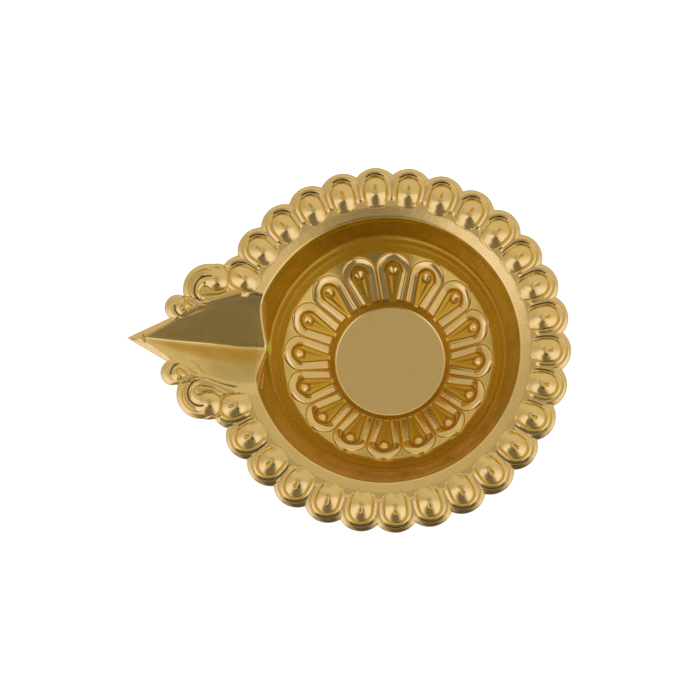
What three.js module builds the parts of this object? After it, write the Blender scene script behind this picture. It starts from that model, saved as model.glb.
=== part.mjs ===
// A diya: a small oil lamp pressed from one sheet of brass. A round bowl stands on its own flat
// pressed-down disc, a flower of petals surrounds the disc, and the flat rim carries a ring of
// lobes, two scrolls on each side of a pointed V spout, and the spout itself.
// Millimetres, +Z up, the spout points to -X, and the origin is the centre of the resting face.
import * as THREE from 'three';
import { ParametricGeometry } from 'three/addons/geometries/ParametricGeometry.js';
import { mergeVertices } from 'three/addons/utils/BufferGeometryUtils.js';

// ---- driving dimensions ----
const SHEET = 0.5; // thickness of the brass
const FOOT_RADIUS = 12.8;
const PETAL_INNER = 14.1; // where the petals start, above the step round the foot
const PETAL_OUTER = 24.4; // top of the petals' round ends
const PETAL_SHOULDER = 21.6; // where two neighbouring petals' round ends meet
const WALL_BEND = 27.7; // the wall turns steeper here
const MOUTH_RADIUS = 30.8;
const RIM_HEIGHT = 18.3; // rim above the bowl's floor
const FLANGE_DISH = 0.35; // the plain ring of the rim dips this much towards the mouth
const BOSS_INNER = 33.4;
const BOSS_LENGTH = 6.9;
const BOSS_HALF_WIDTH = 2.8;
const LOBE_TIP = 42.4; // from the bowl's axis to a lobe's tip
const LOBE_RADIUS = 5.5;
const SPOUT_TIP = 59.8;
const SPOUT_HALF_ANGLE = THREE.MathUtils.degToRad(27.8);

// The inside face from the axis to the rim, as [radius, height above the floor].
const PROFILE = [
  [0, 0],
  [FOOT_RADIUS, 0],
  [PETAL_INNER, 1.3],
  [PETAL_OUTER, 8.1],
  [WALL_BEND, 11.9],
  [MOUTH_RADIUS, RIM_HEIGHT - FLANGE_DISH],
  [BOSS_INNER, RIM_HEIGHT],
];

// ---- relief heights ----
const PETAL_RISE = 0.7;
const BOSS_RISE = 1.1;
const SCROLL_RISE = 0.9;

// ---- rim lobes: two runs of equal steps that meet opposite the spout, in degrees ----
const LOBES = 25;
const MIDDLE_LOBE = (LOBES - 1) / 2;
const FIRST_LOBE_ANGLE = -144.4;
const MIDDLE_LOBE_ANGLE = 1.8;
const LAST_LOBE_ANGLE = 144.1;
const PETALS = 16;

// ---- spout trough: a V whose sides keep one slope, so it deepens as it widens ----
const TROUGH_START = 56.0; // distance of the trough's point from the bowl's axis
const TROUGH_LENGTH = 25.2;
const TROUGH_HALF_WIDTH = 10.2;
const TROUGH_SLOPE = 0.647;

// ---- scrolls beside the spout, on its +Y side: centre x, centre y, radius ----
const SCROLLS = [
  [-48.5, 7.6, 3.0],
  [-41.6, 12.2, 5.9],
  [-39.8, 14.2, 4.0],
];

// ---- mesh density ----
const COLUMNS_PER_LOBE = 6;
const SPOUT_COLUMNS = 20; // on each side of the spout
const COLUMNS = LOBES * COLUMNS_PER_LOBE + 2 * SPOUT_COLUMNS;
const INNER_RINGS = [FOOT_RADIUS, PETAL_INNER, 16.6, 19.1, PETAL_SHOULDER, 23.1, PETAL_OUTER,
  26.1, WALL_BEND, 29.2, MOUTH_RADIUS, BOSS_INNER];
const RIM_FRACTIONS = [0.24, 0.56, 0.82, 1]; // from the bosses' inner ends to the outline
const RINGS = 1 + INNER_RINGS.length + RIM_FRACTIONS.length;

const { clamp, lerp, degToRad } = THREE.MathUtils;

function lobeAngle(index) {
  if (index < MIDDLE_LOBE) {
    return lerp(FIRST_LOBE_ANGLE, MIDDLE_LOBE_ANGLE, index / MIDDLE_LOBE);
  }
  return lerp(MIDDLE_LOBE_ANGLE, LAST_LOBE_ANGLE, (index - MIDDLE_LOBE) / MIDDLE_LOBE);
}

// The angle of one column of points: even steps over each lobe, then across the spout.
function columnAngle(column) {
  const lobeColumns = LOBES * COLUMNS_PER_LOBE;
  if (column <= lobeColumns) {
    return degToRad(lobeAngle(column / COLUMNS_PER_LOBE - 0.5));
  }
  const step = column - lobeColumns;
  const before = lobeAngle(LOBES - 0.5);
  const after = lobeAngle(-0.5) + 360;
  if (step <= SPOUT_COLUMNS) {
    return degToRad(lerp(before, 180, step / SPOUT_COLUMNS));
  }
  return degToRad(lerp(180, after, step / SPOUT_COLUMNS - 1));
}

// How far a ray from the axis, at this angle, runs before it leaves the circle.
function rayExit(angle, centreX, centreY, radius) {
  const along = centreX * Math.cos(angle) + centreY * Math.sin(angle);
  const across = centreX * Math.sin(angle) - centreY * Math.cos(angle);
  const half = radius * radius - across * across;
  return half > 0 ? along + Math.sqrt(half) : 0;
}

function lobeExit(angle, index) {
  const centre = degToRad(lobeAngle(index));
  const distance = LOBE_TIP - LOBE_RADIUS;
  return rayExit(angle, distance * Math.cos(centre), distance * Math.sin(centre), LOBE_RADIUS);
}

// The spout's two straight edges run from its tip at SPOUT_HALF_ANGLE to the spout's axis.
function spoutExit(angle) {
  const fromAxis = Math.abs(Math.atan2(Math.sin(angle), -Math.cos(angle)));
  const atEdge = SPOUT_HALF_ANGLE + fromAxis;
  return fromAxis < SPOUT_HALF_ANGLE ? SPOUT_TIP * Math.sin(SPOUT_HALF_ANGLE) / Math.sin(atEdge) : 0;
}

// The outline is the outermost of the lobes, the scrolls and the spout.
function outlineRadius(angle) {
  let radius = spoutExit(angle);
  for (let index = -1; index <= LOBES; index += 1) {
    radius = Math.max(radius, lobeExit(angle, index));
  }
  for (const [x, y, size] of SCROLLS) {
    radius = Math.max(radius, rayExit(angle, x, y, size), rayExit(angle, x, -y, size));
  }
  return radius;
}

function ringRadius(ring, angle) {
  if (ring === 0) {
    return 0;
  }
  if (ring <= INNER_RINGS.length) {
    return INNER_RINGS[ring - 1];
  }
  const fraction = RIM_FRACTIONS[ring - 1 - INNER_RINGS.length];
  return lerp(BOSS_INNER, outlineRadius(angle), fraction);
}

function profileHeight(radius) {
  for (let i = 1; i < PROFILE.length; i += 1) {
    const [r0, z0] = PROFILE[i - 1];
    const [r1, z1] = PROFILE[i];
    if (radius <= r1) {
      return lerp(z0, z1, (radius - r0) / (r1 - r0));
    }
  }
  return RIM_HEIGHT;
}

function troughHeight(x, y) {
  const along = clamp((TROUGH_START + x) / TROUGH_LENGTH, 0, 1);
  const halfWidth = TROUGH_HALF_WIDTH * Math.sin(along * Math.PI / 2);
  return RIM_HEIGHT - TROUGH_SLOPE * Math.max(0, halfWidth - Math.abs(y));
}

// The plain sheet: the bowl and the flat rim, with the trough cut down through both.
function sheetHeight(x, y) {
  const bowl = profileHeight(Math.hypot(x, y));
  return x < 0 ? Math.min(bowl, troughHeight(x, y)) : bowl;
}

// A petal rises between two radial grooves and ends in an arc.
function petalRelief(radius, angle) {
  const pitch = 2 * Math.PI / PETALS;
  const across = Math.abs(angle / pitch - Math.round(angle / pitch)) * 2;
  const top = lerp(PETAL_OUTER, PETAL_SHOULDER, across * across);
  if (radius <= PETAL_INNER || radius >= top) {
    return 0;
  }
  return PETAL_RISE * (1 - across ** 4) * Math.min(1, 2 * (top - radius) / (top - PETAL_SHOULDER + 1));
}

function bossRelief(radius, angle) {
  const along = (radius - BOSS_INNER) / BOSS_LENGTH;
  if (along <= 0 || along >= 1) {
    return 0;
  }
  let rise = 0;
  for (let index = -1; index <= LOBES; index += 1) {
    const turn = angle - degToRad(lobeAngle(index));
    const across = radius * Math.sin(turn) / BOSS_HALF_WIDTH;
    if (Math.abs(across) < 1 && Math.cos(turn) > 0) {
      rise = Math.max(rise, BOSS_RISE * (1 - across * across) * Math.sin(Math.PI * along));
    }
  }
  return rise;
}

function scrollRelief(x, y) {
  let rise = 0;
  for (const [centreX, centreY, size] of SCROLLS) {
    const away = Math.hypot(x - centreX, Math.abs(y) - centreY) / size;
    rise = Math.max(rise, SCROLL_RISE * (1 - away * away));
  }
  return rise;
}

function insideHeight(x, y) {
  const radius = Math.hypot(x, y);
  const angle = Math.atan2(y, x);
  const sheet = sheetHeight(x, y);
  const onRim = RIM_HEIGHT - sheet < 0.01;
  const rimRelief = onRim ? Math.max(bossRelief(radius, angle), scrollRelief(x, y)) : 0;
  return SHEET + sheet + petalRelief(radius, angle) + rimRelief;
}

// The sheet's thickness measured straight down: the steeper the sheet, the deeper the cut.
function verticalThickness(x, y) {
  const radius = Math.hypot(x, y);
  if (radius <= FOOT_RADIUS + 0.01) {
    return SHEET;
  }
  const step = 0.3;
  const slopeX = (sheetHeight(x + step, y) - sheetHeight(x - step, y)) / (2 * step);
  const slopeY = (sheetHeight(x, y + step) - sheetHeight(x, y - step)) / (2 * step);
  return SHEET * Math.sqrt(1 + slopeX * slopeX + slopeY * slopeY);
}

// The closed skin: out over the inside face, over the rim's edge, and back along the underside.
// The columns run clockwise, so that the faces point outwards.
function skinPoint(u, v, target) {
  const column = Math.round((1 - u) * COLUMNS) % COLUMNS;
  const row = Math.round(v * (2 * RINGS - 1));
  const inside = row < RINGS;
  const angle = columnAngle(column);
  const radius = ringRadius(inside ? row : 2 * RINGS - 1 - row, angle);
  const x = radius * Math.cos(angle);
  const y = radius * Math.sin(angle);
  const top = insideHeight(x, y);
  target.set(x, y, inside ? top : top - verticalThickness(x, y));
}

// Joins the skin's seam and drops the triangles that collapse at its two centres.
function closeSkin(skin) {
  skin.deleteAttribute('normal');
  skin.deleteAttribute('uv');
  const joined = mergeVertices(skin, 1e-4);
  const corners = joined.index.array;
  const kept = [];
  for (let i = 0; i < corners.length; i += 3) {
    const [a, b, c] = corners.slice(i, i + 3);
    if (a !== b && b !== c && c !== a) {
      kept.push(a, b, c);
    }
  }
  joined.setIndex(kept);
  joined.computeVertexNormals();
  return joined;
}

function makeLamp() {
  const geometry = closeSkin(new ParametricGeometry(skinPoint, COLUMNS, 2 * RINGS - 1));
  const brass = new THREE.MeshStandardMaterial({ color: 0xc9a866, roughness: 0.28, metalness: 1 });
  const lamp = new THREE.Mesh(geometry, brass);
  lamp.name = 'pressed_brass_lamp';
  return lamp;
}

const diya = new THREE.Group();
diya.add(makeLamp());

export default diya;
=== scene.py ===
"""The looks of a pressed brass diya: the sheet with its full relief, its brass, and a plain studio.

The sheet is one surface over a polar grid. Each part of the relief is a height field of its own,
worked out for all grid points at once, and the heights are added up. Lengths are in millimetres
until the mesh is made, and X, Y and Z are the frame's axes, with the spout towards -X.
"""
import math

import bpy
import numpy as np
from mathutils import Matrix, Vector


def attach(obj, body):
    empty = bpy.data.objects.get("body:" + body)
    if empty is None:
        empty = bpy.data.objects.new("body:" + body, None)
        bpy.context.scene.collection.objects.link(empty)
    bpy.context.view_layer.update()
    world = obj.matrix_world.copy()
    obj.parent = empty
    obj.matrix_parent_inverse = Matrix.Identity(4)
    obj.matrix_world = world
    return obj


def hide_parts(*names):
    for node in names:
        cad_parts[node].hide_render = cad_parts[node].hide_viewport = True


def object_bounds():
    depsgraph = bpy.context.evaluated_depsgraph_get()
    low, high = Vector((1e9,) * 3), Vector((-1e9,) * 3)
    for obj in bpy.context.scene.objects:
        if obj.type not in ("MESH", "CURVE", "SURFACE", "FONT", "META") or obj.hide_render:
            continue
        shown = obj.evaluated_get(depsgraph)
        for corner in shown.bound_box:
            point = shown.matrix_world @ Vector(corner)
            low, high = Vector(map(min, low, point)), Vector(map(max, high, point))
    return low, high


MM = 0.001
FAR = 1e9  # a distance larger than any on the part

# ---- the plain sheet: nearly the CAD's ----
SHEET = 0.5
FOOT_RADIUS = 12.8
RIM_HEIGHT = 18.3
RIM_START = 33.4  # the plain rim is level outwards of this radius
ON_RIM = 33.0  # the rim's relief is kept outwards of this
PAST_SPOUT = 80  # a radius past the spout's tip
PROFILE_RADII = [0, 12.85, 13.95, 24.3, 27.7, 30.75, RIM_START, PAST_SPOUT]
PROFILE_HEIGHTS = [0, 0, 1.3, 8.05, 11.9, 17.95, RIM_HEIGHT, RIM_HEIGHT]
CREASE = 0.16  # how far a crease of the profile is rounded
EDGE_ROUND = 0.22  # radius of the sheet's cut edge
UNDER_ROUND = 1.7  # how many times as far the underside's edge is rounded as the upper one

# ---- the spout's trough: a V whose sides keep one slope ----
TROUGH_START = 56.0  # distance of its point from the bowl's axis
TROUGH_LENGTH = 25.2
TROUGH_HALF_WIDTH = 10.2
TROUGH_SLOPE = 0.647
TROUGH_POINT_ROUND = 0.03  # how round the V's bottom is at its point
TROUGH_MOUTH_ROUND = 0.25  # how much rounder it is at the bowl
TROUGH_EDGE_BLEND = 0.12  # softness of its edges near the point
TROUGH_REACH = -15  # the trough has run out at larger x than this

# ---- the outline ----
LOBE_TIP = 42.4
LOBE_RADIUS = 5.5
LOBES = 25
# Angles of three of the lobes in degrees.
FIRST_LOBE = -144.4
MIDDLE_LOBE = 1.8
LAST_LOBE = 144.1
SPOUT_TIP = 59.8
SPOUT_HALF_ANGLE = math.radians(27.8)
# Circles that make the scrolls' outline, for the +Y side: centre x and y, radius.
SCROLLS = [(-48.5, 7.6, 3.0), (-41.6, 12.2, 5.9), (-39.8, 14.2, 4.0)]

# ---- the bosses on the lobes ----
BOSS_INNER = 33.2
BOSS_CENTRE = 37.6  # centre of a boss's round outer end
BOSS_HALF_WIDTH = 2.66
BOSS_CORNER = 0.9  # radius of the corners at its inner end
BOSS_TAPER = 0.036  # how fast it narrows towards the bowl
BOSS_CREST = 36.4  # inwards of this a boss slopes down to the bowl
BOSS_RISE = 1.05
BOSS_CAMBER = 0.55  # how much lower a boss is at its outline than along its middle
BOSS_NOSE = 0.75  # how much lower it is at its outer end than at its crest
BOSS_BEND = 2.0  # a boss's inward slope grows for this long, and then stays the same
BOSS_SLOPE = 0.11
DIMPLE_CENTRE = 37.5
DIMPLE_HALF_LENGTH = 0.95
DIMPLE_HALF_WIDTH = 0.58
DIMPLE_DEPTH = 0.1
GROOVE = 0.36  # half width of the groove round a boss
GROOVE_DEPTH = 0.09
GOLD_LINE = 0.5  # half width of the painted golden reflection along that groove
PRESS_SIDE = math.radians(97)  # the ridges are highest on this side of a boss, the beads opposite
NEAR_LOBE = 25  # a boss is worked out for points further along its axis than this
NEAR_AXIS = 7  # and nearer to its axis than this

# ---- the band round a boss; its spans are distances out from the boss's outline ----
LIP_RISE = 0.14
RIDGE_RISE = 0.42  # the ridge just outside the groove, where it is highest
RIDGE_SPAN = (0.36, 0.92)  # over which the ridge falls to the lip
BEAD_RISE = 0.24  # the rim's outer bead above the lip, where it is highest
BEAD_SPAN = (0.84, 1.2)  # over which the bead rises
BEAD_FALL = (1.5, 2.2)
LIP_FALL = (1.25, 2.3)
BAND_START = 35.7  # the bands run down to nothing inwards of this radius
BEAD_START = (37.5, 39.5)  # radii between which the bead comes in
VALLEY = 1.35  # where a faint line of painted golden reflection runs, between lip and bead
PRESSED_PAINTED_DARK = (0.68, 0.4)  # middle and half width of the painted dark reflection on the PRESS_SIDE
FRONT_PAINTED_DARK = (1.0, 0.46)  # the same, opposite it on the bosses in front

# ---- the petals in the bowl ----
PETALS = 16
PETAL_INNER = 14.1
PETAL_OUTER = 24.4
PETAL_ARC_RADIUS = 4.37
PETAL_ARC_CENTRE = PETAL_OUTER - PETAL_ARC_RADIUS
PETAL_CORNER = 0.5  # softness of the corner between a petal's side and its round end
PETAL_BAND = 1.83
BAND_STEP = 0.32  # height of a band just inside its petal's outline
BAND_SLOPE = 0.38  # how steeply a band rises round the outer end
BAND_ARCH = 0.15  # height of the arch across a band
OUTER_ARCH = 0.07  # added to it round the outer end
BAND_LINES = 0.012  # height of the fine lines along a band's sides
KNOB_CENTRE = 20.5
KNOB_RADIUS = 1.15
KNOB_RISE = 0.42
TAIL_RISE = 0.26
NECK = KNOB_CENTRE - 0.3  # where a drop's tail joins its knob
HOLLOW_START = 14.0
HOLLOW_START_RADIUS = 0.75
HOLLOW_RADIUS = 2.2
HOLLOW_DEPTH = 0.08
HOLLOW_RISE = 0.4  # how much higher the hollow is beyond the knob

# ---- the bowl's wall ----
WALL_START = 25.0
WALL_BEAD = 26.9
WALL_BEAD_RISE = 0.07
WALL_GROOVE = 26.1
WALL_GROOVE_DEPTH = 0.04
MOUTH_LINE = 30.3
MOUTH_LINE_DEPTH = 0.07

# ---- the scrolls' lines, for the +Y side: paths of (x, y) points ----
LOOP_OUTER = [(-42.4, 10.5), (-41.1, 10.6), (-39.0, 10.9), (-37.1, 11.7), (-35.5, 12.3),
              (-34.2, 12.1), (-33.2, 11.7)]
LOOP_INNER = [(-42.4, 10.5), (-43.1, 10.9), (-43.3, 11.6), (-42.9, 12.3), (-42.1, 12.6),
              (-41.3, 12.1), (-40.3, 11.8), (-39.2, 11.8), (-38.1, 12.2), (-37.2, 12.8)]
BULB_SIDE = [(-38.3, 17.4), (-37.4, 16.4), (-37.05, 15.2), (-37.0, 13.8), (-37.1, 12.7)]
EYE_LINE = [(-44.2, 13.2), (-44.4, 12.3), (-44.0, 11.4)]
SCROLL_MEETING = [(-47.2, 10.4), (-46.7, 9.3), (-45.9, 8.5), (-45.0, 8.1)]
HOOK = [(-47.2, 10.4), (-46.9, 9.4), (-46.8, 8.7), (-47.2, 8.0), (-47.7, 7.3), (-47.3, 6.8),
        (-46.7, 6.9), (-46.0, 7.5), (-45.0, 8.1)]
LOW_LINE = [(-47.7, 5.4), (-46.6, 5.5), (-45.4, 6.1), (-44.3, 6.9), (-43.3, 7.6)]
CURL = [(-40.5, 14.3), (-42.6, 13.7), (-43.8, 12.4), (-43.9, 11.0), (-43.2, 10.1)]
CONTOUR_END = [(-40.6, 8.5), (-38.9, 9.1)]
TIP_NICK = [(-56.0, 0.9), (-55.5, -0.7)]
TROUGH_CREASE = [(-44.6, -4.4), (-43.4, -5.2), (-42.5, -6.4), (-41.8, -7.2)]  # on the -Y side only
# Arcs: centre x and y, radius, first and last angle in degrees.
SWEEP = (-41.75, 12.05, 3.1, 78, 240)
CONTOUR = (-42.0, 12.5, 4.05, 78, 268)
SMALL_SWEEP = (-46.9, 7.7, 2.2, 172, 252)
# Domes: centre x and y, radius.
BULB = (-39.9, 14.3, 3.2)
SMALL_DOME = (-47.2, 7.9, 1.7)
BULB_RISE = 0.75
CURL_RISE = 0.42
CURL_HALF_WIDTH = 1.15
SMALL_RISE = 0.4
JOINT_LIFT = 0.0563  # the soft joins of the domes lift even level ground by this much
SCROLL_LIP = 0.34  # height of the lip under the scrolls
SCROLL_END = -37.05  # the scrolls have taken the lobes' place at smaller x than this
# Kinds of line: half width, depth, painted shade.
SWEEP_LINE = (0.28, 0.22, 1.0)
SMALL_SWEEP_LINE = (0.26, 0.2, 1.0)
BROAD_LINE = (0.38, 0.14, 0)
MIDDLE_LINE = (0.34, 0.11, 0)
FINE_LINE = (0.25, 0.08, 0)
CONTOUR_LINE = (0.24, 0.08, 0)
PAINTED_DARK_LINE = 0.34  # half width of the painted shade along a line
NICK_DEPTH = 0.2
CREASE_DEPTH = 0.05

# ---- the grid ----
COLUMNS = 2000
RIM_RINGS = 112
# Spans of rings inside the rim's relief: first and last radius, rings.
RING_SPANS = [(0.8, 12.0, 10), (12.3, 14.4, 18), (14.55, 24.9, 76), (25.05, 28.4, 26),
              (28.5, 31.6, 30), (31.8, RIM_START, 12)]
EDGE_FRACTIONS = [0.992, 0.996, 0.9985, 1]  # the last rings, along the cut edge's rounding
UNDER_STEP = 5  # the underside has every fifth ring
FROM_EDGE = 9  # stands for the distance from the edge of all points in the bowl


# ---------------------------------------------------------------- curves and distances

def smooth(low, high, value):
    """0 below low, 1 above high, and an even S between."""
    t = np.clip((value - low) / (high - low), 0, 1)
    return t * t * (3 - 2 * t)


def ramp(low, high, value):
    """0 below low, 1 above high, and nearly straight between, with eased ends."""
    t = np.clip((value - low) / (high - low), 0, 1)
    return 0.65 * t + 0.35 * t * t * (3 - 2 * t)


def cut(distance, half_width):
    """1 on a line and 0 from half_width away, with a rounded bottom."""
    return smooth(0, 1, 1 - np.abs(distance) / half_width)


def soft_min(a, b, blend):
    """The smaller of the two, with the change between them rounded over blend."""
    h = np.clip(0.5 + 0.5 * (b - a) / blend, 0, 1)
    return b + (a - b) * h - blend * h * (1 - h)


def round_dome(x, y, centre_x, centre_y, size):
    """1 at the centre, falling to 0 at the distance size."""
    return np.clip(1 - (np.hypot(x - centre_x, y - centre_y) / size) ** 2, 0, 1)


def to_path(x, y, points):
    """Distance from each grid point to an open path of straight stretches."""
    best = np.full(x.shape, FAR)
    for (x0, y0), (x1, y1) in zip(points[:-1], points[1:]):
        dx, dy = x1 - x0, y1 - y0
        t = np.clip(((x - x0) * dx + (y - y0) * dy) / (dx * dx + dy * dy), 0, 1)
        best = np.minimum(best, np.hypot(x - x0 - t * dx, y - y0 - t * dy))
    return best


def below_path(x, side, points):
    """How far each grid point is below a path that runs along X, measured along Y."""
    path_x, path_y = zip(*points)
    return np.interp(x, path_x, path_y) - side


def curved(points, steps=6):
    """The same path with its corners rounded: a Catmull-Rom curve through the points."""
    ends = [points[0]] + list(points) + [points[-1]]
    p = np.array(ends, dtype=float)
    t = (np.arange(steps) / steps)[:, None]
    pieces = []
    for a, b, c, d in zip(p[:-3], p[1:-2], p[2:-1], p[3:]):
        pieces.append(b + 0.5 * t * (c - a + t * (2 * a - 5 * b + 4 * c - d + t * (3 * (b - c) + d - a))))
    return [tuple(point) for point in np.vstack(pieces + [p[-1:]])]


def arc(centre_x, centre_y, radius, start, end, steps=24):
    """Points of an arc, with its angles in degrees."""
    turns = np.radians(np.linspace(start, end, steps))
    return [(centre_x + radius * math.cos(a), centre_y + radius * math.sin(a)) for a in turns]


def round_cone(across, along, start, end, start_radius, end_radius):
    """Distance out from a shape with two round ends of different sizes, lying along one axis."""
    length = end - start
    slope = (start_radius - end_radius) / length
    level = math.sqrt(1 - slope * slope)
    aside = np.abs(across)
    place = (along - start) * level - aside * slope
    side = aside * level + (along - start) * slope - start_radius
    low_end = np.hypot(across, along - start) - start_radius
    high_end = np.hypot(across, along - end) - end_radius
    return np.where(place < 0, low_end, np.where(place > level * length, high_end, side))


# ---------------------------------------------------------------- the outline

def lobe_angle(index):
    """Two runs of even steps that meet at the middle lobe."""
    middle = (LOBES - 1) / 2
    if index < middle:
        degrees = FIRST_LOBE + (MIDDLE_LOBE - FIRST_LOBE) * index / middle
    else:
        degrees = MIDDLE_LOBE + (LAST_LOBE - MIDDLE_LOBE) * (index - middle) / middle
    return math.radians(degrees)


def ray_exit(angles, x, y, radius):
    """How far rays from the axis run before they leave a circle, or 0 where they miss it."""
    along = x * np.cos(angles) + y * np.sin(angles)
    across = x * np.sin(angles) - y * np.cos(angles)
    half = np.maximum(radius * radius - across * across, 0)
    return np.where(half > 0, along + np.sqrt(half), 0)


def spout_exit(angles):
    """The same for the spout, whose two straight edges meet at its tip."""
    from_axis = np.abs(np.arctan2(np.sin(angles), -np.cos(angles)))
    edge = SPOUT_TIP * math.sin(SPOUT_HALF_ANGLE) / np.sin(SPOUT_HALF_ANGLE + from_axis)
    return np.where(from_axis < SPOUT_HALF_ANGLE, edge, 0)


def outline(angles):
    """The rim's edge: the outermost of the spout, the lobes and the scrolls."""
    radius = spout_exit(angles)
    for index in range(-1, LOBES + 1):
        turn = lobe_angle(index)
        distance = LOBE_TIP - LOBE_RADIUS
        centre = distance * math.cos(turn), distance * math.sin(turn)
        radius = np.maximum(radius, ray_exit(angles, *centre, LOBE_RADIUS))
    for x, y, size in SCROLLS:
        radius = np.maximum(radius, ray_exit(angles, x, y, size))
        radius = np.maximum(radius, ray_exit(angles, x, -y, size))
    return radius


def edge_distance(x, y, edge_radius, angles):
    """Distance in from the outline, measured square to it."""
    outline_x = edge_radius * np.cos(angles)
    outline_y = edge_radius * np.sin(angles)
    along_x = np.roll(outline_x, -1) - np.roll(outline_x, 1)
    along_y = np.roll(outline_y, -1) - np.roll(outline_y, 1)
    length = np.hypot(along_x, along_y)
    return np.abs((x - outline_x) * along_y - (y - outline_y) * along_x) / length


def edge_fall(edge):
    """How far the face has fallen where the cut edge is rounded."""
    into = np.clip(EDGE_ROUND - edge, 0, EDGE_ROUND)
    return EDGE_ROUND - np.sqrt(EDGE_ROUND ** 2 - into ** 2)


# ---------------------------------------------------------------- the plain sheet

def profile(radius):
    """The bowl's section, with its creases rounded."""
    step = 0.02
    table = np.arange(-2, PAST_SPOUT, step)  # from across the axis, so that 0 isn't at its end
    heights = np.interp(np.abs(table), PROFILE_RADII, PROFILE_HEIGHTS)
    reach = np.arange(-3 * CREASE, 3 * CREASE + step, step)
    weights = np.exp(-(reach / CREASE) ** 2 / 2)
    rounded = np.convolve(heights, weights / weights.sum(), mode="same")
    return np.interp(radius, table, rounded)


def trough_inset(x, y):
    """Distance in from the trough's edge along Y: positive inside the trough."""
    along = np.clip((TROUGH_START + x) / TROUGH_LENGTH, 0, 1)
    bottom = TROUGH_POINT_ROUND + TROUGH_MOUTH_ROUND * along ** 2
    return TROUGH_HALF_WIDTH * np.sin(along * math.pi / 2) - np.sqrt(y * y + bottom)


def sheet_height(x, y):
    """The bowl and the rim, with the trough cut down through both, softer-edged near the bowl."""
    bowl = profile(np.hypot(x, y))
    trough = RIM_HEIGHT - TROUGH_SLOPE * trough_inset(x, y)
    blend = TROUGH_EDGE_BLEND + 0.7 * smooth(-48, -42, x) + 0.8 * smooth(-39, -31, x)
    return np.where(x < TROUGH_REACH, soft_min(bowl, trough, blend), bowl)


def vertical_thickness(x, y):
    """The sheet's thickness measured straight down, so that a steep wall stays as thick."""
    step = 0.25
    slope_x = (sheet_height(x + step, y) - sheet_height(x - step, y)) / (2 * step)
    slope_y = (sheet_height(x, y + step) - sheet_height(x, y - step)) / (2 * step)
    thick = SHEET * np.sqrt(1 + slope_x ** 2 + slope_y ** 2)
    return np.where(np.hypot(x, y) <= FOOT_RADIUS, SHEET, thick)


# ---------------------------------------------------------------- the petals

def petal_place(x, y):
    """Each point's place in its own petal: along and across its axis, in from the petal's
    outline, and out from the edge of its hollow."""
    radius = np.hypot(x, y)
    pitch = 2 * math.pi / PETALS
    turn = np.arctan2(y, x)
    turn = turn - pitch * np.round(turn / pitch)
    across = radius * np.sin(turn)
    along = radius * np.cos(turn)
    side = radius * np.sin(pitch / 2 - np.abs(turn))
    from_arc = PETAL_ARC_RADIUS - np.hypot(across, np.maximum(along - PETAL_ARC_CENTRE, 0))
    inset = soft_min(from_arc, side, PETAL_CORNER)
    hollow = round_cone(across, along, HOLLOW_START, KNOB_CENTRE - 0.1, HOLLOW_START_RADIUS, HOLLOW_RADIUS)
    return along, across, inset, hollow


def petal_band(along, across, inset, from_hollow):
    """The band between a petal's outline and its hollow: a low arch, level round the outer end."""
    from_centre = np.maximum(np.hypot(across, along - PETAL_ARC_CENTRE), 0.1)
    heading = (along - PETAL_ARC_CENTRE) / from_centre
    outward = smooth(-0.1, 0.9, heading)
    place = np.clip(inset / np.maximum(inset + np.clip(from_hollow, 0, None), 0.01), 0, 1)
    arch = (BAND_ARCH + OUTER_ARCH * outward) * (1 - (2 * place - 1) ** 2)
    lines = BAND_LINES * (1 - outward) * np.cos(6 * math.pi * place)
    level = BAND_SLOPE * np.clip(inset, 0, PETAL_BAND) * np.clip(heading, 0, 1)
    foot = BAND_STEP * smooth(0, 0.28, inset)
    return foot + (arch + lines) * smooth(0, 0.1, inset) + level


def petal_drop(along, across):
    """The teardrop in a petal's hollow: a low knob, tipped to be level, with a tail to the foot."""
    dome = round_dome(across, along, 0, KNOB_CENTRE, KNOB_RADIUS)
    tip = 0.5 * (KNOB_CENTRE + 0.4 - along)
    tail = np.clip((along - HOLLOW_START) / (KNOB_CENTRE - HOLLOW_START), 0, 1)
    body = round_cone(across, along, HOLLOW_START, NECK, 0.1, 0.95)
    drop = np.maximum((KNOB_RISE + tip) * dome, TAIL_RISE * tail * smooth(0.1, -0.6, body))
    return HOLLOW_RISE * smooth(NECK, KNOB_CENTRE + 2.0, along) - HOLLOW_DEPTH + drop


def petal_relief(x, y):
    """The petals' height above the bowl's wall, with painted golden reflection along their outlines and in
    their hollows, and painted brown shade round the hollows and between the petals.
    """
    radius = np.hypot(x, y)
    along, across, inset, from_hollow = petal_place(x, y)
    in_hollow = smooth(0, 0.42, -from_hollow)
    band = petal_band(along, across, inset, from_hollow)
    height = band * (1 - in_hollow) + petal_drop(along, across) * in_hollow
    on_knob = smooth(KNOB_RADIUS, KNOB_RADIUS - 0.4, np.hypot(across, along - KNOB_CENTRE))
    # painted golden reflection along the outline and in the hollow, painted brown shade round the hollow
    # and between the petals
    gold = np.maximum(0.8 * cut(inset, 0.2), 0.95 * in_hollow * (1 - 0.85 * on_knob))
    brown = 0.3 * cut(from_hollow + 0.2, 0.35)
    notch = 0.5 * smooth(0, -0.5, inset) * (radius > 20) * (radius < 26.5)
    inside = smooth(PETAL_INNER - 0.2, PETAL_INNER + 0.35, radius)
    within = inside * (radius < PETAL_OUTER + 0.3)
    return height * inside, gold * within, np.maximum(brown * within, notch)


# ---------------------------------------------------------------- the lobes

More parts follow.
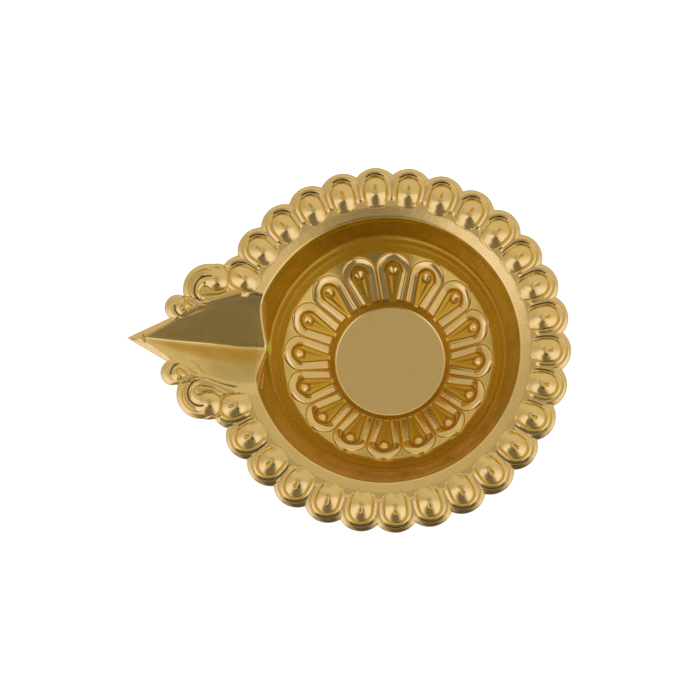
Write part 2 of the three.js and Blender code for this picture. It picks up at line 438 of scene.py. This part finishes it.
def boss_distance(x, y, turn):
    """Signed distance out from one boss's outline, and the point's place along and across it."""
    along = x * math.cos(turn) + y * math.sin(turn)
    across = np.abs(-x * math.sin(turn) + y * math.cos(turn))
    half_width = BOSS_HALF_WIDTH - BOSS_TAPER * np.clip(BOSS_CENTRE - 0.3 - along, 0, None) ** 2
    sides = across - half_width
    end = np.hypot(across, along - BOSS_CENTRE) - BOSS_HALF_WIDTH
    inner = BOSS_INNER - along
    corner = np.hypot(np.maximum(sides + BOSS_CORNER, 0), np.maximum(inner + BOSS_CORNER, 0)) - BOSS_CORNER
    in_corner = (sides > -BOSS_CORNER) & (inner > -BOSS_CORNER)
    near_end = np.where(in_corner, corner, np.maximum(sides, inner))
    return np.where(along > BOSS_CENTRE, end, near_end), along, across


def partial_boss(distance, x, y):
    """The boss beside each scroll is cut off by the scroll's lines."""
    below = below_path(x, np.abs(y), LOOP_OUTER)
    return np.maximum(distance, np.maximum(below, SCROLL_END - x))


def boss_facing(x, y, turn, along):
    """How squarely a boss's outline, at its point nearest to (x, y), faces PRESS_SIDE."""
    place = np.clip(along, BOSS_INNER + 1.5, BOSS_CENTRE)
    away_x = x - place * math.cos(turn)
    away_y = y - place * math.sin(turn)
    away = np.maximum(np.hypot(away_x, away_y), 0.01)
    return (away_x * math.cos(PRESS_SIDE) + away_y * math.sin(PRESS_SIDE)) / away


def boss_dome(along, across):
    """A boss's top: slightly round both ways, and sloping down to the bowl inwards of its crest."""
    inwards = np.clip(BOSS_CREST - along, 0, None)
    outwards = np.clip(along - BOSS_CREST, 0, None) / (BOSS_CENTRE + BOSS_HALF_WIDTH - BOSS_CREST)
    camber = (BOSS_CAMBER + 0.08 * inwards) * (across / BOSS_HALF_WIDTH) ** 2
    straight = np.clip(inwards - BOSS_BEND, 0, None)
    fall = BOSS_SLOPE * (inwards ** 2 - straight ** 2)
    return np.maximum(BOSS_RISE - camber - BOSS_NOSE * outwards ** 2 - fall, 0.02)


def boss_dimple(along, across):
    """1 in the dimple on a boss, a drop that narrows towards the bowl."""
    inward = np.clip((DIMPLE_CENTRE + 0.6 - along) / 1.6, 0, 1)
    half_width = DIMPLE_HALF_WIDTH - 0.4 * inward
    away = np.hypot(across / half_width, (along - DIMPLE_CENTRE) / DIMPLE_HALF_LENGTH)
    return smooth(0, 0.3, 1 - away)


def nearest_bosses(x, y):
    """For each point: the distance out from the nearest boss, how squarely that boss's outline
    faces PRESS_SIDE there, the height of a boss's top, and the share of its dimple."""
    nearest = np.full(x.shape, FAR)
    facing, dome, dimple = np.zeros(x.shape), np.zeros(x.shape), np.zeros(x.shape)
    for index in range(-1, LOBES + 1):
        turn = lobe_angle(index)
        ahead = (x * math.cos(turn) + y * math.sin(turn)) > NEAR_LOBE
        close = ahead & (np.abs(-x * math.sin(turn) + y * math.cos(turn)) < NEAR_AXIS)
        px, py = x[close], y[close]
        distance, along, across = boss_distance(px, py, turn)
        if index in (-1, LOBES):
            distance = partial_boss(distance, px, py)
        dome[close] = np.where(distance < 0.1, boss_dome(along, across), dome[close])
        facing[close] = np.where(distance < nearest[close], boss_facing(px, py, turn, along), facing[close])
        nearest[close] = np.minimum(nearest[close], distance)
        dimple[close] = np.maximum(dimple[close], boss_dimple(along, across))
    return nearest, facing, dome, dimple


def band_height(distance, radius, facing, front):
    """Outwards from a boss: a ridge, a valley, and at the outer end the rim's bead."""
    ridge = RIDGE_RISE * (0.3 + 0.7 * smooth(0.55, 0.85, facing)) * (1 - ramp(*RIDGE_SPAN, distance))
    high = 0.2 + 0.8 * smooth(0.45, 0.8, -facing) * front * (1 - smooth(*BEAD_FALL, distance))
    bead = BEAD_RISE * high * ramp(*BEAD_SPAN, distance) * smooth(*BEAD_START, radius)
    fall = (0.2 - 0.08 * front) * smooth(*LIP_FALL, distance)
    return LIP_RISE + ridge + bead - fall


def lobe_painted_dark(distance, radius, facing, front):
    """Painted dark reflection in the valley on a boss's PRESS_SIDE and, for the bosses in front, opposite
    it too.
    """
    middle, half_width = PRESSED_PAINTED_DARK
    pressed = cut(distance - middle, half_width) * smooth(0.7, 0.95, facing)
    middle, half_width = FRONT_PAINTED_DARK
    beyond = 0.5 * smooth(0.9, 1.3, distance)
    opposite = smooth(0.55, 0.8, -facing) * front * np.maximum(cut(distance - middle, half_width), beyond)
    return np.maximum(pressed, opposite) * smooth(34, 35, radius)


def lobe_relief(x, y):
    """The bosses, the band round each one and the lip outside the bands, with their painted golden
    reflection and painted dark reflection.
    """
    radius = np.hypot(x, y)
    distance, facing, dome, dimple = nearest_bosses(x, y)
    front = smooth(0.1, 0.6, -y / radius)
    nose = np.clip(BAND_START - radius, 0, None)
    band = np.maximum(band_height(distance, radius, facing, front) - 0.15 * nose ** 2, 0)
    off_boss = smooth(-0.08, 0.08, distance)
    clear = 0.25 + 0.75 * smooth(RIM_START, 34.6, radius)  # the groove is faint at its inner end
    height = dome * (1 - off_boss) + band * off_boss
    height = height - GROOVE_DEPTH * cut(distance, GROOVE) * clear - DIMPLE_DEPTH * dimple
    # a faint line of painted golden reflection in the valley, and painted golden reflection along the
    # groove and in the dimple
    valley = 0.4 * cut(distance - VALLEY, 0.24) * smooth(38, 39.5, radius) * smooth(0.3, -0.1, facing)
    gold = np.maximum(np.maximum(clear * cut(distance, GOLD_LINE), dimple), valley)
    return height, gold, lobe_painted_dark(distance, radius, facing, front)


# ---------------------------------------------------------------- the scrolls

def in_scrolls(x, side):
    """1 beside the spout, where the scrolls take the lobes' place."""
    below = below_path(x, side, LOOP_OUTER)
    return np.maximum(smooth(-0.1, 0.1, SCROLL_END - x), smooth(-0.1, 0.1, below) * (x < -30))


def scroll_lines():
    """All of a scroll's lines: (path, half width, depth, painted shade) of each."""
    lines = [(arc(*SWEEP), *SWEEP_LINE)]
    lines.append((arc(*CONTOUR) + CONTOUR_END, *CONTOUR_LINE))
    lines.append((arc(*SMALL_SWEEP), *SMALL_SWEEP_LINE))
    for path in (LOOP_OUTER, LOOP_INNER, BULB_SIDE):
        lines.append((curved(path), *BROAD_LINE))
    for path in (SCROLL_MEETING, HOOK):
        lines.append((curved(path), *MIDDLE_LINE))
    for path in (LOW_LINE, EYE_LINE):
        lines.append((curved(path), *FINE_LINE))
    return lines


def scroll_domes(x, side):
    """The round bulb, the curl that runs from it round the eye, and the small scroll's dome."""
    above = -below_path(x, side, LOOP_INNER[3:])
    bulb_edge = -37.0
    bulb = BULB_RISE * round_dome(x, side, *BULB) * smooth(0, 0.4, above) * smooth(0, 0.3, bulb_edge - x)
    curl = CURL_RISE * cut(to_path(x, side, curved(CURL)), CURL_HALF_WIDTH)
    small = SMALL_RISE * round_dome(x, side, *SMALL_DOME)
    joined = -soft_min(soft_min(-bulb, -curl, 0.2), -small, 0.1)
    return np.maximum(joined - JOINT_LIFT, 0)


def scroll_relief(x, y, edge):
    """The scrolls' height, with painted golden reflection along their lines and painted shade in their
    grooves.
    """
    side = np.abs(y)
    lip = SCROLL_LIP * smooth(-0.3, 0.8, -trough_inset(x, y)) * (1 - smooth(46, 52, -x))
    lip = lip * smooth(33.6, 36, np.hypot(x, y)) - 0.2 * (1 - smooth(0, 1.5, edge))
    height = lip + scroll_domes(x, side) * smooth(0.2, 1.1, edge)
    gold = np.zeros(x.shape)
    painted_dark = np.zeros(x.shape)
    for path, half_width, depth, dark in scroll_lines():
        distance = to_path(x, side, path)
        height = height - depth * cut(distance, half_width)
        # painted golden reflection along each line, and painted shade along the deepest ones and in the
        # nick at the tip
        gold = np.maximum(gold, cut(distance, 1.35 * half_width) * min(1, 0.35 + 6 * depth))
        painted_dark = np.maximum(painted_dark, dark * cut(distance, PAINTED_DARK_LINE))
    nick = cut(to_path(x, y, TIP_NICK), 0.3)
    return height - NICK_DEPTH * nick, np.maximum(gold, nick), np.maximum(painted_dark, 0.7 * nick)


# ---------------------------------------------------------------- the whole surface

def rim_relief(x, y, edge):
    """The lobes and the scrolls, with their painted golden reflection and painted dark, outside the trough.
    """
    lobes = lobe_relief(x, y)
    scrolls = scroll_relief(x, y, edge)
    share = in_scrolls(x, np.abs(y))
    outside = np.where(x < -20, smooth(-0.7, 0.7, -trough_inset(x, y)), 1)
    return [(lobe * (1 - share) + scroll * share) * outside for lobe, scroll in zip(lobes, scrolls)]


def wall_lines(radius):
    """The low bead on the wall, with a groove beside it, and the fine line inside the mouth."""
    bead = cut(radius - WALL_BEAD, 0.55)
    groove = cut(radius - WALL_GROOVE, 0.4)
    mouth = cut(radius - MOUTH_LINE, 0.25)
    return WALL_BEAD_RISE * bead - WALL_GROOVE_DEPTH * groove - MOUTH_LINE_DEPTH * mouth, bead


def trough_brown(x, y):
    """Painted shade: the trough is a little brown, and browner in a wedge along its bottom on the -Y side.
    """
    half = np.minimum(2.5 + 0.16 * (x + 49.2), 0.39 * (x + 55.6))
    wedge = smooth(0.3, -0.3, -y - half) * (y < 0) * (half > 0)
    return np.maximum(0.24 * smooth(-0.6, 4.0, trough_inset(x, y)), 0.36 * wedge) * (x < -30)


def bowl_painted_light(radius, y, bead, in_bowl):
    """Painted golden reflection and painted brown shade on the bowl's wall and on the step round the foot.
    """
    wall = smooth(PETAL_OUTER - 0.1, WALL_START, radius) * smooth(31.0, 30.5, radius)
    step = smooth(FOOT_RADIUS - 0.1, FOOT_RADIUS + 0.2, radius) * smooth(14.5, 14.0, radius)
    steep = smooth(25.6, 27.2, radius)
    # painted reflection on the wall's bead and upper part; painted shade, browner where the wall is steep
    # and less brown towards the front
    lit = wall * np.maximum(bead, 0.85 - 0.5 * steep) * in_bowl
    painted_wall_shade = wall * (0.2 + 0.65 * steep) * (1 - 0.9 * bead) * in_bowl * (1 - 0.45 * smooth(5, 25, -y))
    return np.maximum(lit, 0.25 * step), np.maximum(painted_wall_shade, 0.6 * step)


def build_top(x, y, edge):
    """The upper face's height, and each point's share of painted golden reflection, painted brown shade and
    painted dark.
    """
    radius = np.hypot(x, y)
    on_rim = radius > ON_RIM
    in_bowl = (trough_inset(x, y) < -0.2) | (x > -28)
    petals, petal_gold, petal_brown = petal_relief(x, y)
    rim, rim_gold, painted_dark = rim_relief(x, y, edge)
    lines, bead = wall_lines(radius)
    crease = cut(to_path(x, y, curved(TROUGH_CREASE)), 0.22)
    top = SHEET + sheet_height(x, y) + petals + np.where(on_rim, rim, 0) - CREASE_DEPTH * crease
    top = top + np.where(in_bowl, lines, 0) - edge_fall(edge)
    bowl_gold, bowl_brown = bowl_painted_light(radius, y, bead, in_bowl)
    gold = np.where(on_rim, rim_gold, np.maximum(petal_gold, bowl_gold))
    # painted golden reflection along the trough's crease
    gold = np.maximum(gold, 0.8 * crease)
    brown = np.where(on_rim, 0, np.maximum(petal_brown, bowl_brown))
    brown = np.maximum(brown, trough_brown(x, y))
    # each point's painted light: golden reflection, brown shade, and dark reflection and shade
    painted_light = np.stack([gold, brown, np.where(on_rim, painted_dark, 0)], -1)
    return top, np.clip(painted_light, 0, 1)


def underside(x, y, top, edge):
    """Every fifth row of the grid, from the rim's edge back to the axis, one sheet lower."""
    rows = np.unique(np.append(np.arange(0, len(x), UNDER_STEP), len(x) - 1))[::-1]
    low = top - vertical_thickness(x, y) + UNDER_ROUND * edge_fall(edge)
    low = low[rows]
    low[-1] = 0
    return x[rows], y[rows], np.maximum(low, 0)


# ---------------------------------------------------------------- the mesh

def polar_grid(angles, edge_radius):
    """Rings of points: round ones in the bowl, then ones that grow into the outline."""
    inner = np.concatenate([np.linspace(*span) for span in RING_SPANS])
    fractions = np.append(np.linspace(0, 1, RIM_RINGS)[1:-1], EDGE_FRACTIONS)
    rings = np.repeat(inner[:, None], len(angles), axis=1)
    rim = RIM_START + fractions[:, None] * (edge_radius[None, :] - RIM_START)
    radius = np.vstack([rings, rim])
    return radius * np.cos(angles), radius * np.sin(angles)


def grid_faces(rows):
    """Quads between neighbouring rows of COLUMNS points, facing up when the rows run outwards."""
    row = np.arange(rows - 1)[:, None] * COLUMNS
    column = np.arange(COLUMNS)[None, :]
    after = (column + 1) % COLUMNS
    corners = [row + column, row + COLUMNS + column, row + COLUMNS + after, row + after]
    return np.stack(corners, axis=-1).reshape(-1, 4)


def skin_faces(rows):
    """The grid's quads, and a fan of triangles to each of the two centres, which come last."""
    faces = grid_faces(rows).tolist()
    centre = rows * COLUMNS
    last = (rows - 1) * COLUMNS
    for column in range(COLUMNS):
        after = (column + 1) % COLUMNS
        faces.append([centre, column, after])
        faces.append([centre + 1, last + after, last + column])
    return faces


def make_sheet():
    """The lamp as one mesh: the upper face outwards, then the underside back to the axis."""
    angles = np.linspace(-math.pi, math.pi, COLUMNS, endpoint=False)
    edge_radius = outline(angles)
    x, y = polar_grid(angles, edge_radius)
    edge = edge_distance(x, y, edge_radius, angles)
    edge = np.where(np.hypot(x, y) > RIM_START, edge, FROM_EDGE)
    top, painted_light = build_top(x, y, edge)
    low_x, low_y, low = underside(x, y, top, edge)

    points = np.concatenate([
        np.stack([x, y, top], -1).reshape(-1, 3),
        np.stack([low_x, low_y, low], -1).reshape(-1, 3),
        [[0, 0, SHEET], [0, 0, 0]],
    ])
    mesh = bpy.data.meshes.new("lamp_sheet")
    mesh.from_pydata((points * MM).tolist(), [], skin_faces(len(x) + len(low_x)))
    mesh.update()
    mesh.shade_smooth()
    # the painted light goes on the upper face's points only
    painted_light_values = np.zeros((len(points), 3), dtype=np.float32)
    painted_light_values[:x.size] = painted_light.reshape(-1, 3)
    mesh.attributes.new("painted_light", "FLOAT_VECTOR", "POINT").data.foreach_set("vector", painted_light_values.ravel())
    sheet = bpy.data.objects.new("lamp_sheet", mesh)
    bpy.context.scene.collection.objects.link(sheet)
    return sheet


# ---------------------------------------------------------------- shader nodes

class Nodes:
    """Short calls for making and joining shader nodes."""

    def __init__(self, tree):
        self.nodes, self.links = tree.nodes, tree.links

    def new(self, kind):
        return self.nodes.new("ShaderNode" + kind)

    def put(self, socket, value):
        """Links a socket to a node's output, or gives it a plain value."""
        if hasattr(value, "is_linked"):
            self.links.new(value, socket)
        else:
            socket.default_value = value

    def math(self, operation, a, b=0.0, c=0.0):
        node = self.new("Math")
        node.operation = operation
        for socket, value in zip(node.inputs, (a, b, c)):
            self.put(socket, value)
        return node.outputs[0]

    def clamp(self, value):
        return self.math("MINIMUM", self.math("MAXIMUM", value, 0), 1)

    def mix(self, factor, a, b, data_type="RGBA"):
        node = self.new("Mix")
        node.data_type = data_type
        for name, value in (("Factor", factor), ("A", a), ("B", b)):
            self.put(node.inputs[name], value)
        return node.outputs["Result"]

    def split(self, vector):
        node = self.new("SeparateXYZ")
        self.put(node.inputs[0], vector)
        return node.outputs

    def noise(self, place, scale, detail):
        node = self.new("TexNoise")
        node.inputs["Scale"].default_value = scale
        node.inputs["Detail"].default_value = detail
        self.put(node.inputs["Vector"], place)
        return node.outputs["Fac"]

    def stretched(self, place, turn, scale):
        node = self.new("Mapping")
        node.inputs["Rotation"].default_value = turn
        node.inputs["Scale"].default_value = scale
        self.put(node.inputs["Vector"], place)
        return node.outputs["Vector"]


# ---------------------------------------------------------------- brass

# Colours as red, green, blue and alpha.
CLEAN = (0.765, 0.512, 0.178, 1)
WORN = (0.62, 0.41, 0.13, 1)
# painted golden reflection: the deep gold of brass seen in brass
GOLD = (0.60, 0.33, 0.03, 1)
# painted brown shade
BROWN = (0.49, 0.342, 0.018, 1)
# painted dark reflection and shade, for the lobes' valleys and the scrolls' grooves
PAINTED_DARK = (0.025, 0.017, 0.006, 1)
# The noises' scales are per metre.
MOTTLE_SCALE = 260
GRAIN_SCALE = 2100
RUBBING_TURN = (0, 0, 0.5)
RUBBING_SCALE = (260, 3800, 900)
SMOOTHEST = 0.09  # roughness of clean brass where it is rubbed least
BUMP_HEIGHT = 0.000006  # metres


def brass_colour(n, mottle, gold, brown, painted_dark):
    worn = n.math("MULTIPLY", n.math("SUBTRACT", mottle, 0.35), 0.5)
    uneven = n.math("MULTIPLY_ADD", mottle, 2.0, -0.05)
    browned = n.math("MINIMUM", n.math("MULTIPLY", brown, uneven), 1)
    # mixed in: painted golden reflection, painted brown shade and painted dark
    colour = n.mix(worn, CLEAN, WORN)
    colour = n.mix(gold, colour, GOLD)
    colour = n.mix(browned, colour, BROWN)
    return n.mix(painted_dark, colour, PAINTED_DARK)


def brass_roughness(n, rubbed, gold, brown):
    rough = n.math("MULTIPLY_ADD", rubbed, 0.1, SMOOTHEST)
    rough = n.math("MULTIPLY_ADD", gold, 0.14, rough)
    return n.math("MULTIPLY_ADD", brown, 0.06, rough)


def brass_normal(n, mottle, grain, rubbed, brown):
    """Very low waves, grain and rubbing marks, fainter where the brass is brown."""
    height = n.math("MULTIPLY_ADD", rubbed, 0.5, grain)
    height = n.math("MULTIPLY_ADD", mottle, 4.0, height)
    bump = n.new("Bump")
    n.put(bump.inputs["Strength"], n.math("MULTIPLY_ADD", brown, -0.8, 1))
    n.put(bump.inputs["Distance"], BUMP_HEIGHT)
    n.put(bump.inputs["Height"], height)
    return bump.outputs["Normal"]


def brass():
    """Polished brass: soft mottling, fine rubbing marks, and painted golden reflection, brown shade and
    dark shade in grooves, hollows and the bowl's wall.
    """
    material = bpy.data.materials.new("polished_brass")
    material.use_nodes = True
    n = Nodes(material.node_tree)
    place = n.new("TexCoord").outputs["Object"]
    attribute = n.new("Attribute")
    # the painted light worked out in build_top: golden reflection, brown shade and dark
    attribute.attribute_name = "painted_light"
    gold, brown, painted_dark = n.split(attribute.outputs["Vector"])
    mottle = n.noise(place, MOTTLE_SCALE, 3)
    grain = n.noise(place, GRAIN_SCALE, 2)
    rubbed = n.noise(n.stretched(place, RUBBING_TURN, RUBBING_SCALE), 1, 2)
    shader = n.nodes["Principled BSDF"].inputs
    n.put(shader["Base Color"], brass_colour(n, mottle, gold, brown, painted_dark))
    n.put(shader["Metallic"], 1)
    n.put(shader["Roughness"], brass_roughness(n, rubbed, gold, brown))
    n.put(shader["Normal"], brass_normal(n, mottle, grain, rubbed, brown))
    return material


# ---------------------------------------------------------------- studio, in metres

WHITE = (1, 1, 1, 1)
FLOOR_HALF = 3.0  # half the floor's width
FLOOR_WHITE = (0.93, 0.93, 0.93, 1)
FLOOR_DARK = (0.02, 0.02, 0.02, 1)
DARK_FROM = 0.09  # in reflections, the floor darkens behind the lamp from this Y
DARK_FULL = 0.1025
FLOOR_LIFT = 0.6  # added to what the camera sees of the floor, so that it reads as white

TENT = 0.82  # brightness of the surroundings where there is no patch
# Patches of the surroundings: azimuth, elevation, inner and outer half angle, brightness.
PATCHES = [
    (0, 38, 20, 48, 0.78),
    (180, 38, 20, 48, 0.67),
    (116, 80, 6, 17, 0.54),
    (94, 20, 8, 20, 0.62),
    (-145, 56, 4, 34, 1.22),
    (-35, 58, 4, 36, 1.22),
    (-105, 79, 3, 15, 0.26),
    (-95, 62, 8, 25, 0.22),
    (-93, 48, 4, 22, 0.24),
    (-169, 75, 3, 10, 1.25),
    (-78, 28, 16, 30, 0.27),
    (-64, 80, 3.5, 5, 0),
    (60, 0, 9, 14, 0.03),
    (90, 0, 9, 13, 0.03),
    (122, 0, 9, 14, 0.03),
]
# How much more green and blue the brightest patches have than red.
COOLER = {"Red": 0, "Green": 0.06, "Blue": 0.5}

CAMERA_AZIMUTH = math.radians(-64.2)
CAMERA_TILT = math.radians(10)  # away from straight above
CAMERA_ROLL = math.radians(23)
CAMERA_DISTANCE = 0.80
VIEW_WIDTH = 0.1603  # across the picture, at the rim
VIEW_SHIFT = 0.56 * MM, -0.68 * MM  # the view's middle is this far from the CAD box's


def floor_material():
    """White paper that lies on a table: its far end is dark, but only in reflections."""
    material = bpy.data.materials.new("floor")
    material.use_nodes = True
    n = Nodes(material.node_tree)
    ray = n.new("LightPath").outputs
    position = n.split(n.new("NewGeometry").outputs["Position"])
    gain = 1 / (DARK_FULL - DARK_FROM)
    far = n.clamp(n.math("MULTIPLY_ADD", position["Y"], gain, -DARK_FROM * gain))
    dark = n.math("MULTIPLY", far, ray["Is Glossy Ray"])
    shader = n.nodes["Principled BSDF"].inputs
    n.put(shader["Base Color"], n.mix(dark, FLOOR_WHITE, FLOOR_DARK))
    n.put(shader["Roughness"], 0.7)
    n.put(shader["Specular IOR Level"], 0)
    n.put(shader["Emission Color"], WHITE)
    n.put(shader["Emission Strength"], n.math("MULTIPLY", ray["Is Camera Ray"], FLOOR_LIFT))
    return material


def make_floor():
    mesh = bpy.data.meshes.new("floor")
    corners = [(x * FLOOR_HALF, y * FLOOR_HALF, 0) for x, y in ((-1, -1), (1, -1), (1, 1), (-1, 1))]
    mesh.from_pydata(corners, [], [(0, 1, 2, 3)])
    mesh.materials.append(floor_material())
    floor = bpy.data.objects.new("floor", mesh)
    bpy.context.scene.collection.objects.link(floor)


def patch_share(n, direction, azimuth, elevation, inner, outer):
    """1 within the inner half angle of a patch's middle, and 0 outside its outer one."""
    a, e = math.radians(azimuth), math.radians(elevation)
    dot = n.new("VectorMath")
    dot.operation = "DOT_PRODUCT"
    n.put(dot.inputs[0], direction)
    n.put(dot.inputs[1], (math.cos(e) * math.cos(a), math.cos(e) * math.sin(a), math.sin(e)))
    share = n.new("MapRange")
    share.interpolation_type = "SMOOTHSTEP"
    n.put(share.inputs["Value"], dot.outputs["Value"])
    n.put(share.inputs["From Min"], math.cos(math.radians(outer)))
    n.put(share.inputs["From Max"], math.cos(math.radians(inner)))
    return share.outputs["Result"]


def make_world():
    """Surroundings: an even grey-white tent, brighter and cooler at both sides, darker in front.

    The camera itself sees plain white."""
    world = bpy.data.worlds.new("studio")
    bpy.context.scene.world = world
    world.use_nodes = True
    n = Nodes(world.node_tree)
    direction = n.new("TexCoord").outputs["Generated"]
    light = TENT
    for *patch, level in PATCHES:
        light = n.mix(patch_share(n, direction, *patch), light, level, "FLOAT")
    glow = n.clamp(n.math("MULTIPLY_ADD", light, 2.9, -2.45))  # 0 up to 0.84, and 1 from 1.19
    colour = n.new("CombineColor")
    for channel, more in COOLER.items():
        n.put(colour.inputs[channel], n.math("MULTIPLY", light, n.math("MULTIPLY_ADD", glow, more, 1)))
    seen = n.new("LightPath").outputs["Is Camera Ray"]
    n.put(n.nodes["Background"].inputs["Color"], n.mix(seen, colour.outputs["Color"], WHITE))


def make_camera(low, high):
    """The camera looks down at the middle of the rim from a little in front and to the right."""
    azimuth, tilt, roll = CAMERA_AZIMUTH, CAMERA_TILT, CAMERA_ROLL
    back = Vector((math.sin(tilt) * math.cos(azimuth), math.sin(tilt) * math.sin(azimuth), math.cos(tilt)))
    side = Vector((-math.sin(azimuth), math.cos(azimuth), 0))
    rise = back.cross(side)
    right = math.cos(roll) * side - math.sin(roll) * rise
    up = math.sin(roll) * side + math.cos(roll) * rise
    data = bpy.data.cameras.new("camera")
    data.lens = data.sensor_width * CAMERA_DISTANCE / VIEW_WIDTH
    camera = bpy.data.objects.new("camera", data)
    middle = [(a + b) / 2 + shift for a, b, shift in zip(low, high, VIEW_SHIFT)]
    target = Vector((*middle, (RIM_HEIGHT + SHEET) * MM))
    axes = Matrix((right, up, back)).transposed().to_4x4()
    camera.matrix_world = Matrix.Translation(target + CAMERA_DISTANCE * back) @ axes
    bpy.context.scene.collection.objects.link(camera)
    bpy.context.scene.camera = camera


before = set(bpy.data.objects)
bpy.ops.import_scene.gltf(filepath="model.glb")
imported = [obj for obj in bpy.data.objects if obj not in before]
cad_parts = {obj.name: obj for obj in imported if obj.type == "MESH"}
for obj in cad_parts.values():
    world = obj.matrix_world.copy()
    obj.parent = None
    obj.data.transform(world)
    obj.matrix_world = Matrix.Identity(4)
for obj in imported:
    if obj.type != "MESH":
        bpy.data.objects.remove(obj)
cad_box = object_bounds()
lamp = make_sheet()
lamp.data.materials.append(brass())
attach(lamp, "root")
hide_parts("pressed_brass_lamp")
make_floor()
make_world()
make_camera(*cad_box)
bpy.context.scene.view_settings.view_transform = "Standard"
